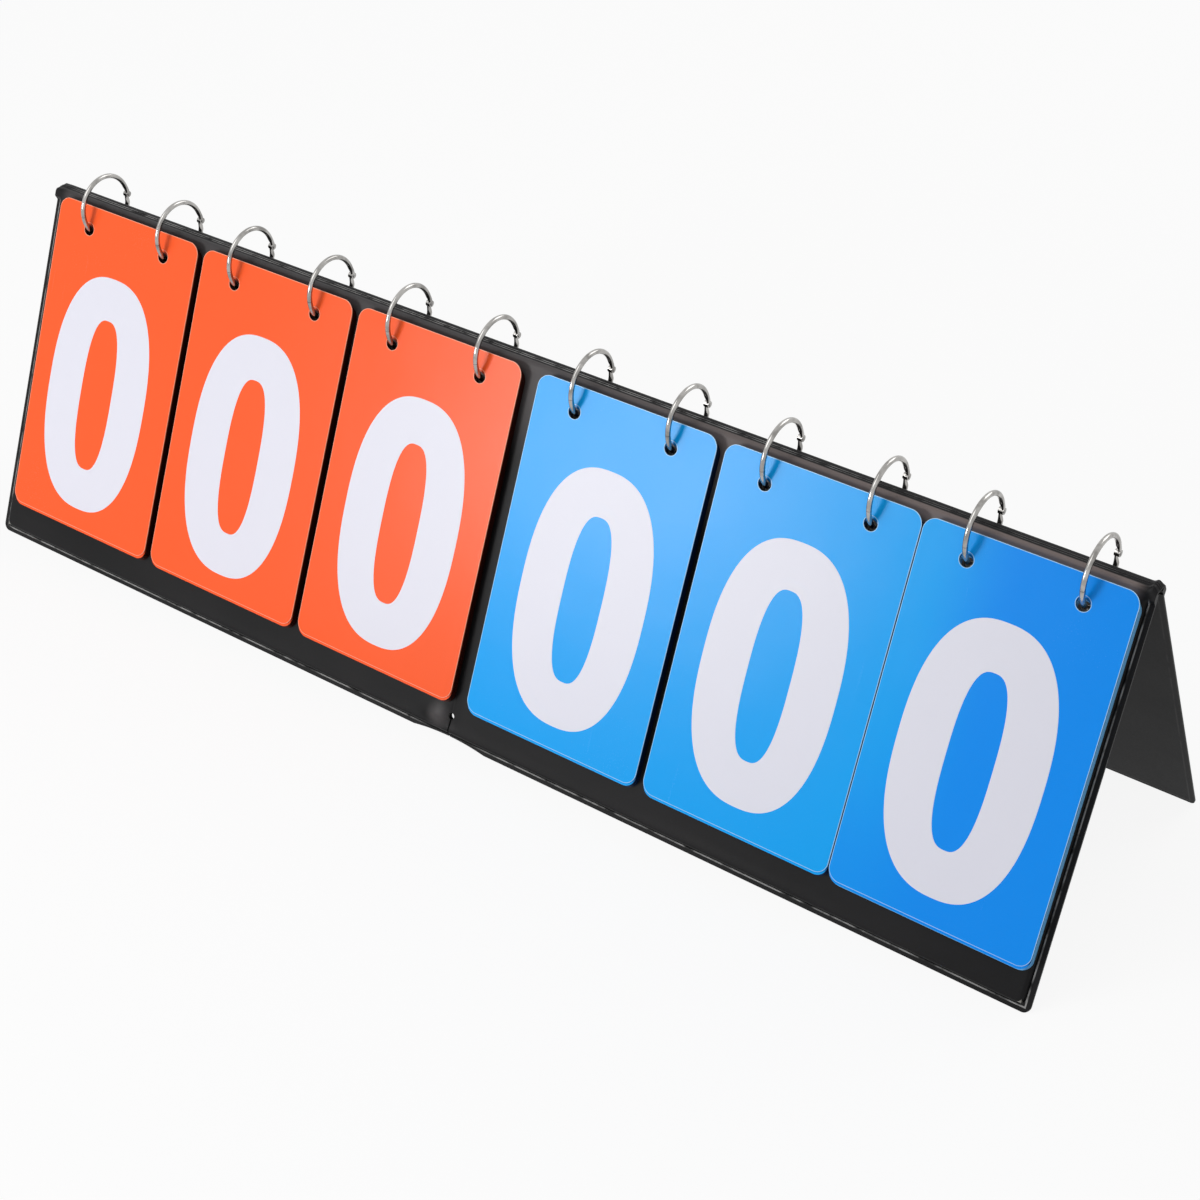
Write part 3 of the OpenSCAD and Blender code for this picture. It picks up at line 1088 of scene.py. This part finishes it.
@dataclass
class CardStack:
    """One stack of number cards with its printed numbers."""

    frame: dict[str, Any]
    team: Team
    place: str
    face: Colour
    # colour of the deck's sides: painted shade, and painted light on the last blue stack
    sides: Colour
    slid: Span
    # width of the painted highlight line round the top card's face
    top_rim: float = 0.28 * MM
    # width of the painted shadow line round the deck's faces
    deck_rim: float = 0.8 * MM
    hole_span: float = 43 * MM
    hole_in: float = 9.8 * MM
    number_left: float = 0.4 * MM
    number_top: float = 26.0 * MM
    number_height: float = 100.6 * MM
    number_width: float = 55.5 * MM
    number_power: float = 2.47
    eye_height: float = 65 * MM
    eye_width: float = 17.7 * MM
    eye_power: float = 2.73
    stem_left: float = -5.5 * MM
    stem_width: float = 19.3 * MM
    flag_start: float = 6 * MM
    flag_out: float = 14 * MM
    flag_drops: Point = (17 * MM, 37 * MM, 28 * MM)
    film: float = 0.03 * MM

    @property
    def name(self) -> str:
        """The stack's name as the frame's nodes spell it."""
        return f"{self.team.value}_{self.place}"

    def build(self, ink: bpy.types.Material) -> None:
        """Dresses the cards and prints their numbers.

        Args:
            ink: Finish of the numbers.
        """
        panel = PanelFrame(Side.FRONT)
        deck = self.frame["nodes"][f"{self.name}_card_deck"]
        card = self.frame["nodes"][f"{self.name}_top_card"]
        # pale is the cut-edge colour with its painted highlight; line is the painted shadow line
        pale, line = PALE_CORE_AND_HIGHLIGHT[self.team], PAINTED_SHADOW_LINES[self.team]
        on_top, on_deck = panel.box(card.data), panel.box(deck.data)
        # top card: pale cut edges and a painted highlight rim; deck: painted shadow rim and painted
        # shade on its sides, painted light on the last blue stack
        for node, part, (low, high), level, core, sides, rim in (
            (card, "top", on_top, on_top[0][2], pale, pale, self.top_rim),
            (deck, "deck", on_deck, on_deck[1][2], line, self.sides, self.deck_rim),
        ):
            plastic = CardPlastic(
                name=f"{self.name}_{part}_plastic",
                colour=self.face,
                # the same as the face, except on the last blue stack, where it paints the sheen
                left=FACES[self.team],
                core=core,
                side=sides,
                rim=rim,
                face=level,
                frame=panel,
                middle=((low[0] + high[0]) / 2, (low[1] + high[1]) / 2),
                size=(high[0] - low[0], high[1] - low[1]),
                hole_span=self.hole_span,
                hole_drop=(high[1] - low[1]) / 2 - self.hole_in,
            )
            PieceMaker.dress(node, plastic.make(), slot=f"{self.team.value}_card")
        (left, _, back), (right, top, front) = on_top
        middle, body = ((left + right) / 2, top), f"{self.name}_card"
        self.print_number("score_zero", self.zero(), middle, front, 1, body, ink)
        self.print_number("reverse_one", self.one(), middle, back, -1, body, ink)
        self.print_number("next_one", self.one(), middle, on_deck[1][2], 1, "front_panel", ink)

    def zero(self, corners: int = 144) -> tuple[list, list]:
        """Bold upright nought between two superellipses.

        Args:
            corners: Number of points on each edge.

        Returns:
            Flat points around the number's middle, and the faces between its two edges.
        """
        turns = [2 * math.pi * k / corners for k in range(corners)]
        points = []
        for width, height, power in (
            (self.number_width, self.number_height, self.number_power),
            (self.eye_width, self.eye_height, self.eye_power),
        ):
            for t in turns:
                ways = (math.cos(t), math.sin(t))
                x, y = (math.copysign(abs(v) ** (2 / power), v) for v in ways)
                points.append((width / 2 * x, height / 2 * y))
        after = [(k + 1) % corners for k in range(corners)]
        faces = [(k, after[k], after[k] + corners, k + corners) for k in range(corners)]
        return points, faces

    def one(self) -> tuple[list, list]:
        """Bold upright one with a slanted flag.

        Returns:
            Flat points around the number's middle, and its faces.
        """
        half, left = self.number_height / 2, self.stem_left
        right, out = left + self.stem_width, left - self.flag_out
        tip, under, root = (half - drop for drop in self.flag_drops)
        points = [(left, -half), (right, -half), (right, half), (left + self.flag_start, half)]
        points += [(out, tip), (out, under), (left, root)]
        return points, [(0, 1, 2, 3, 6), (3, 4, 5, 6)]

    def print_number(
        self,
        word: str,
        shape: tuple[list, list],
        middle: Span,
        level: float,
        facing: int,
        body: str,
        ink: bpy.types.Material,
    ) -> None:
        """Lays a number on a card as a thin film.

        Args:
            word: Last part of the piece's name.
            shape: Flat points and faces of the number.
            middle: Middle and top edge of the card, in the panel's frame.
            level: Level of the card's face.
            facing: 1 for the front of a card, -1 for its reverse.
            body: The body that the card rides on.
            ink: The film's finish.
        """
        flat, faces = shape
        count = len(flat)
        x0 = middle[0] + self.slid[0] - self.number_left * facing
        y0 = middle[1] + self.slid[1] - self.number_top - self.number_height / 2
        levels = (level - facing * self.film / 2, level + facing * self.film)
        points = [(x0 + facing * x, y0 + y, z) for z in levels for x, y in flat]
        edges = dict.fromkeys(edge for face in faces for edge in zip(face, (*face[1:], face[0])))
        solid = [*faces, *(tuple(k + count for k in face) for face in faces)]
        solid += [(a, b, b + count, a + count) for a, b in edges if (b, a) not in edges]
        placed = PanelFrame(Side.FRONT).place(points)
        PieceMaker.dress(PieceMaker.from_faces(f"{self.name}_{word}", placed, solid), ink, body)


class ShapeTree(NodeTree):
    """Adds nodes to a geometry tree."""

    bar_sides: int = 32

    def turned(
        self, part: Wave, at: Sequence[Any], turn: Sequence[float] = (0, 0, 0), size: float = 1
    ) -> Wave:
        """Turns a part and moves it.

        Args:
            part: The part.
            at: Where it goes, as three numbers or Waves.
            turn: Its turn about X, Y and Z in degrees.
            size: Its scale along X.

        Returns:
            The moved part.
        """
        place = self.node("ShaderNodeCombineXYZ", inputs=dict(enumerate(at)))
        angles = tuple(math.radians(a) for a in turn)
        inputs = {"Geometry": part, "Translation": place, "Rotation": angles, "Scale": (size, 1, 1)}
        return self.node("GeometryNodeTransform", inputs=inputs)

    def bar(
        self, radius: float, length: Any, at: Sequence[Any], turn: Sequence[float] = (0, 0, 0)
    ) -> Wave:
        """Round bar around its middle, turned in degrees from upright."""
        inputs = {"Vertices": self.bar_sides, "Radius": radius, "Depth": length}
        return self.turned(self.node("GeometryNodeMeshCylinder", inputs=inputs), at, turn)

    def joined(self, operation: str, first: Wave, *others: Wave) -> Wave:
        """Adds closed shapes to one, or takes them out of it.

        Args:
            operation: UNION or DIFFERENCE.
            first: The shape to work on.
            others: The shapes to add or take away.

        Returns:
            The result.
        """
        settings = {"operation": operation, "solver": "MANIFOLD"}
        inputs = {"Mesh 1": first, "Mesh 2": list(others)}
        if operation == "UNION":
            inputs = {"Mesh 2": [first, *others]}
        return self.node("GeometryNodeMeshBoolean", settings, inputs)


@dataclass
class BookRings:
    """The pair of hinged snap rings that a stack hangs on."""

    frame: dict[str, Any]
    stack: str
    height: float = field(init=False)
    radius: float = field(init=False)
    wire: float = field(init=False)
    arc_steps: int = 90
    wire_sides: int = 24
    eye_radius: float = 1.3 * MM
    leaf_gap: float = 0.1 * MM
    leaf_length: float = 4 * MM
    socket_radius: float = 0.5 * MM
    peg_radius: float = 0.4 * MM
    peg_length: float = 1.2 * MM
    snap_gap: float = 0.1 * MM
    head_radius: float = 0.8 * MM
    head_height: float = 0.28 * MM
    shaft_radius: float = 0.45 * MM

    def build(self, nickel: bpy.types.Material, rivet: bpy.types.Material) -> None:
        """Makes the pair's lower halves, rivets and gates.

        Args:
            nickel: Finish of the wire.
            rivet: Finish of the rivets.
        """
        axis = next(j for j in self.frame["joints"] if j["name"] == f"{self.stack}_flip")
        self.height = axis["pos_m"][2]
        gates = [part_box(f"{self.stack}_ring_gate_{end}") for end in ENDS]
        low, high = gates[0]
        self.wire = (high.x - low.x) / 2
        self.radius = high.z - self.height - self.wire
        places = [gate[0].x + self.wire for gate in gates]
        rows = [("hoops", places, RingPart.HOOP, "rings")]
        for end, x in zip(ENDS, places):
            rows.append((f"gate_{end}", [x], RingPart.GATE, f"gate_{end}"))
        rows.append(("rivets", places, RingPart.RIVET, "rings"))
        for word, xs, part, body in rows:
            is_rivet = part is RingPart.RIVET
            finish, slot = (rivet, "ring_rivet") if is_rivet else (nickel, "ring_wire")
            piece = self.repeated(f"{self.stack}_{word}", xs, part, finish)
            replaced = [f"{self.stack}_ring_{word}"]
            PieceMaker.dress(piece, finish, f"{self.stack}_{body}", slot, replaced)

    def repeated(
        self, name: str, places: list[float], part: RingPart, material: bpy.types.Material
    ) -> bpy.types.Object:
        """Repeats a ring's part along the stand.

        Args:
            name: The piece's name.
            places: Where the copies go along X.
            part: Which part.
            material: Its finish.

        Returns:
            The plain mesh piece.
        """
        holder = show(name, bpy.data.meshes.new(name))
        repeat = holder.modifiers.new("repeat", "NODES")
        name = f"ring_{part.name.lower()}"
        repeat.node_group = bpy.data.node_groups.get(name) or self.tree(name, part)
        values = {
            "Count": len(places),
            "Spacing": places[-1] - places[0],
            "Start": places[0],
            "Height": self.height,
            "Ring Radius": self.radius,
            "Wire Radius": self.wire,
            "Finish": material,
        }
        for socket in repeat.node_group.interface.items_tree:
            if socket.in_out == "INPUT":
                repeat[socket.identifier] = values[socket.name]
        return PieceMaker.settle(holder)

    def tree(self, name: str, part: RingPart) -> bpy.types.GeometryNodeTree:
        """Geometry tree that makes a ring's part and repeats it.

        Args:
            name: The tree's name.
            part: Which part.

        Returns:
            The tree.
        """
        group = bpy.data.node_groups.new(name, "GeometryNodeTree")
        sizes = dict.fromkeys(("Spacing", "Start", "Height", "Ring Radius", "Wire Radius"), "Float")
        for word, kind in {"Count": "Int", **sizes, "Finish": "Material"}.items():
            group.interface.new_socket(word, in_out="INPUT", socket_type=f"NodeSocket{kind}")
        group.interface.new_socket("Geometry", in_out="OUTPUT", socket_type="NodeSocketGeometry")
        t = ShapeTree(group)
        given = group.nodes.new("NodeGroupInput").outputs
        count, spacing, first, height, radius, wire, finish = (Wave(t, given[k]) for k in range(7))
        start = t.node("ShaderNodeCombineXYZ", inputs={0: first, 2: height})
        offset = t.node("ShaderNodeCombineXYZ", inputs={0: spacing})
        inputs = {"Count": count, "Start Location": start, "Offset": offset}
        line = t.node("GeometryNodeMeshLine", inputs=inputs)
        if part is RingPart.RIVET:
            shape = self.rivet(t, radius, wire)
        else:
            shape = self.half_ring(t, part, radius, wire)
        placed = t.node("GeometryNodeInstanceOnPoints", inputs={"Points": line, "Instance": shape})
        real = t.node("GeometryNodeRealizeInstances", inputs={0: placed})
        dressed = t.node("GeometryNodeSetMaterial", inputs={"Geometry": real, "Material": finish})
        t.node("NodeGroupOutput", inputs={"Geometry": dressed})
        return group

    def half_ring(self, t: ShapeTree, part: RingPart, radius: Wave, wire: Wave) -> Wave:
        """One half of a ring: round wire pressed flat to a leaf and an eye at its hinge.

        Args:
            t: The tree.
            part: Which half.
            radius: Radius of the ring.
            wire: Radius of its wire.

        Returns:
            The half ring around the ring's centre, with its hinge at +Y.
        """
        snap = self.snap_gap / 2 / radius
        sweep = math.pi - snap
        start = 0.0 if part is RingPart.GATE else -sweep
        by_radius = {"mode": "RADIUS"}
        inputs = {"Resolution": self.arc_steps, "Radius": radius}
        inputs |= {"Start Angle": start, "Sweep Angle": sweep}
        arc = t.node("GeometryNodeCurveArc", by_radius, inputs)
        inputs = {"Resolution": self.wire_sides, "Radius": wire}
        section = t.node("GeometryNodeCurvePrimitiveCircle", by_radius, inputs)
        inputs = {"Curve": arc, "Profile Curve": section, "Fill Caps": True}
        made = t.turned(t.node("GeometryNodeCurveToMesh", inputs=inputs), (0, 0, 0), (90, 0, 90))
        x, y, z = t.parts(t.node("GeometryNodeInputPosition"))
        far = ((y - radius) ** 2 + z**2) ** 0.5
        pressed = 1 - far.ramp(self.eye_radius, self.leaf_length)
        leaf = (wire - self.leaf_gap / 2) / 2
        middle = (wire + self.leaf_gap / 2) / 2 * part.value
        shift = pressed * (middle - x * (1 - leaf / wire))
        offset = t.node("ShaderNodeCombineXYZ", inputs={0: shift})
        made = t.node("GeometryNodeSetPosition", inputs={"Geometry": made, "Offset": offset})
        eye = t.bar(self.eye_radius, leaf * 2, (middle, radius, 0), (0, 90, 0))
        made = t.joined("UNION", made, eye)
        front, depth = (0, -radius, 0), 2 * self.peg_length
        if part is RingPart.GATE:
            return t.joined("UNION", made, t.bar(self.peg_radius, depth, front))
        socket = t.bar(self.socket_radius, depth + self.snap_gap, front)
        return t.joined("DIFFERENCE", made, socket)

    def rivet(self, t: ShapeTree, radius: Wave, wire: Wave) -> Wave:
        """Rivet through both eyes with a low dome on each side.

        Args:
            t: The tree.
            radius: Radius of the ring.
            wire: Radius of its wire.

        Returns:
            The rivet around the ring's centre.
        """
        inputs = {"Segments": t.bar_sides, "Rings": t.bar_sides // 2, "Radius": self.head_radius}
        ball = t.node("GeometryNodeMeshUVSphere", inputs=inputs)
        flat = self.head_height / self.head_radius
        heads = [t.turned(ball, (wire * side, radius, 0), size=flat) for side in (-1, 1)]
        shaft = t.bar(self.shaft_radius, wire * 2, (0, radius, 0), (0, 90, 0))
        return t.joined("UNION", shaft, *heads)


@dataclass(frozen=True)
class Lamp:
    """Square soft lamp: its place, the length of its side, its watts and where it points."""

    name: str
    place: Point
    size: float
    power: float
    aim: Point = (0.0, 0.0, 0.08)

    def hang(self) -> None:
        """Puts the lamp in the scene."""
        data = bpy.data.lights.new(self.name, "AREA")
        data.size = self.size
        data.energy = self.power
        lamp = show(self.name, data)
        lamp.location = self.place
        lamp.rotation_mode = "QUATERNION"
        way = Vector(self.aim) - Vector(self.place)
        lamp.rotation_quaternion = way.to_track_quat("-Z", "Y")


@dataclass
class Studio:
    """Pale floor, soft lamps and the camera at the photograph's angle."""

    camera_place: Point = (0.4819, -0.5910, 0.6000)
    azimuth: float = 37.60
    elevation: float = 36.95
    roll: float = -1.95
    lens: float = 71.48
    sensor: float = 36
    floor_size: float = 8.0
    floor_tones: Span = (0.86, 0.9)
    floor_glow: float = 0.9
    sky: Span = (0.35, 1.0)
    lamps: tuple[Lamp, ...] = (
        Lamp("key", (-0.7, -1.1, 1.9), 1.4, 12.6),
        Lamp("sheen", (-0.48, -0.98, 0.33), 0.3, 4.7, (0.08, -0.03, 0.08)),
        Lamp("back", (0.6, 1.5, 1.3), 1.2, 10),
    )

    def build(self) -> None:
        """Makes the whole studio."""
        self.floor()
        self.world()
        for lamp in self.lamps:
            lamp.hang()
        self.camera()

    def floor(self) -> None:
        """Large pale floor that shows white to the camera and keeps the shadows."""
        s = Surface("pale_floor")
        low, high = ((tone, tone, tone, 1) for tone in self.floor_tones)
        paper = s.node("ShaderNodeBsdfDiffuse", inputs={0: s.mix(s.noise(3, 2), low, high)})
        glow = s.node("ShaderNodeEmission", inputs={"Color": (1, 1, 1, 1), "Strength": 1.0})
        inputs = {0: s.shown() * self.floor_glow, 1: paper, 2: glow}
        mixed = s.node("ShaderNodeMixShader", inputs=inputs)
        s.node("ShaderNodeOutputMaterial", inputs={"Surface": mixed})
        half = self.floor_size / 2
        corners = [(-half, -half, 0), (half, -half, 0), (half, half, 0), (-half, half, 0)]
        plane = PieceMaker.from_faces("floor", corners, [(0, 1, 2, 3)])
        plane.data.materials.append(s.material)

    def world(self) -> None:
        """Even white surroundings, full white where they are seen."""
        world = bpy.data.worlds.new("studio")
        bpy.context.scene.world = world
        world.use_nodes = True
        tree = NodeTree(world.node_tree)
        dim, full = self.sky
        inputs = {"Color": (1, 1, 1, 1), "Strength": dim + tree.shown() * (full - dim)}
        sky = tree.node("ShaderNodeBackground", inputs=inputs)
        tree.node("ShaderNodeOutputWorld", inputs={"Surface": sky})

    def camera(self) -> None:
        """Camera where the photograph was taken."""
        data = bpy.data.cameras.new("camera")
        data.lens = self.lens
        data.sensor_width = self.sensor
        camera = show("camera", data)
        azimuth, elevation = math.radians(self.azimuth), math.radians(self.elevation)
        out = math.cos(elevation)
        back = Vector((math.sin(azimuth) * out, -math.cos(azimuth) * out, math.sin(elevation)))
        level = (-back).to_track_quat("-Z", "Y").to_matrix().to_4x4()
        turn = Matrix.Rotation(math.radians(self.roll), 4, "Z")
        camera.matrix_world = Matrix.Translation(self.camera_place) @ level @ turn
        bpy.context.scene.camera = camera


def main() -> None:
    """Builds the scoreboard around its frame."""
    logging.basicConfig(level=logging.INFO, format="%(name)s %(message)s")
    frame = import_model()
    bpy.context.scene.view_settings.view_transform = "Standard"
    Studio().build()
    stacks = [(team, place) for team in Team for place in PLACES]
    gates = [
        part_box(f"{team.value}_{place}_ring_gate_{end}")
        for team, place in stacks
        for end in ENDS
    ]
    VinylStand(frame, [(low.x + high.x) / 2 for low, high in gates]).build()
    ink, nickel = Ink().make(), Nickel().make()
    rivet = Nickel(name="rivet_steel", colour=tint(158, 157, 155), roughness=0.28).make()
    for (team, place), (right, up) in zip(stacks, PRINT_SLID):
        face, sides = FACES[team], PAINTED_SHADE_SIDES[team]
        # the last blue stack: plain blue faces and sides painted lit
        if (team, place) == stacks[-1]:
            face, sides = LAST_FACE, PAINTED_LIT_LAST_SIDES
        slid = (right * MM, up * MM)
        CardStack(frame, team, place, face, sides, slid).build(ink)
        BookRings(frame, f"{team.value}_{place}").build(nickel, rivet)


if __name__ == "__main__":
    main()
